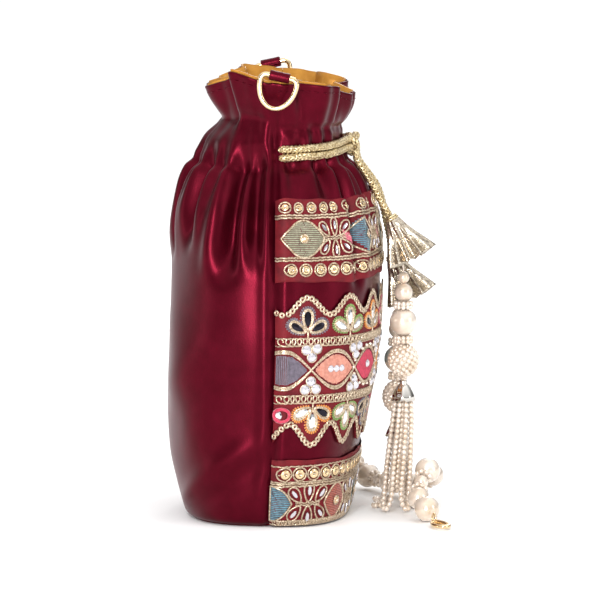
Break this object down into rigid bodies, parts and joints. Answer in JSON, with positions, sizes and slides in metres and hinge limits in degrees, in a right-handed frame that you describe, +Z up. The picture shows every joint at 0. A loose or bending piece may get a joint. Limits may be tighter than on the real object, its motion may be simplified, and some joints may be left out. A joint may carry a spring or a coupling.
{
  "type": "potli bag",
  "caption": "Lined drawstring pouch in satin with embroidered bands, side rings, knotted drawcord with pearl tassels and a pearl wrist handle.",
  "frame": {"origin": "middle of the underside of the base", "axes": "+Z up to the mouth, -Y towards the embroidered front, X across from side seam to side seam"},
  "size_m": [0.1601, 0.1434, 0.2245],
  "materials": {
    "satin": "glossy wine-red satin",
    "band_cloth": "matte red cloth under metal-thread embroidery",
    "lining_cloth": "mustard satin",
    "board": "grey-brown card",
    "gold_cord": "braided metallic yarn",
    "gold_metal": "polished champagne-gold plate",
    "ribbon": "pleated metallic ribbon",
    "pearl": "ivory pearl coating",
    "silver_metal": "polished silver plate"
  },
  "bodies": {
    "bag": {"front_panel": "satin", "back_panel": "satin", "base_panel": "satin", "base_board": "board", "lining": "lining_cloth", "band_top": "band_cloth", "band_middle": "band_cloth", "band_bottom": "band_cloth", "near_tab": "satin", "far_tab": "satin", "drawcord_knot": "gold_cord", "drawcord_near_upper": "gold_cord", "drawcord_near_lower": "gold_cord", "drawcord_far_upper": "gold_cord", "drawcord_far_lower": "gold_cord", "handle_loop": "satin", "handle_link": "gold_metal", "handle_string": "pearl", "handle_clasp": "gold_metal", "drawcord_end_1": "gold_cord", "tassel_1": "ribbon", "pearl_small_1": "pearl", "pearl_middle_1": "pearl", "rosette_upper_1": "pearl", "pearl_large_1": "pearl", "rosette_lower_1": "pearl", "beaded_ball_1": "pearl", "cap_1": "silver_metal", "strand_1_1": "pearl", "strand_1_2": "pearl", "strand_1_3": "pearl", "strand_1_4": "pearl", "drawcord_end_2": "gold_cord", "tassel_2": "ribbon", "pearl_small_2": "pearl", "pearl_middle_2": "pearl", "rosette_upper_2": "pearl", "pearl_large_2": "pearl", "rosette_lower_2": "pearl", "beaded_ball_2": "pearl", "cap_2": "silver_metal", "strand_2_1": "pearl", "strand_2_2": "pearl", "strand_2_3": "pearl", "strand_2_4": "pearl"},
    "near_ring": {"near_ring": "gold_metal"},
    "far_ring": {"far_ring": "gold_metal"}
  },
  "joints": [
    {"name": "near_ring_swing", "type": "hinge", "parent": "bag", "child": "near_ring", "pos_m": [-0.0583, -0.005, 0.2209], "axis": [0, 0.9781, 0.2079], "range_deg": [0, 165]},
    {"name": "far_ring_swing", "type": "hinge", "parent": "bag", "child": "far_ring", "pos_m": [0.0583, 0.005, 0.2209], "axis": [0, -0.9781, 0.2079], "range_deg": [0, 165]}
  ]
}
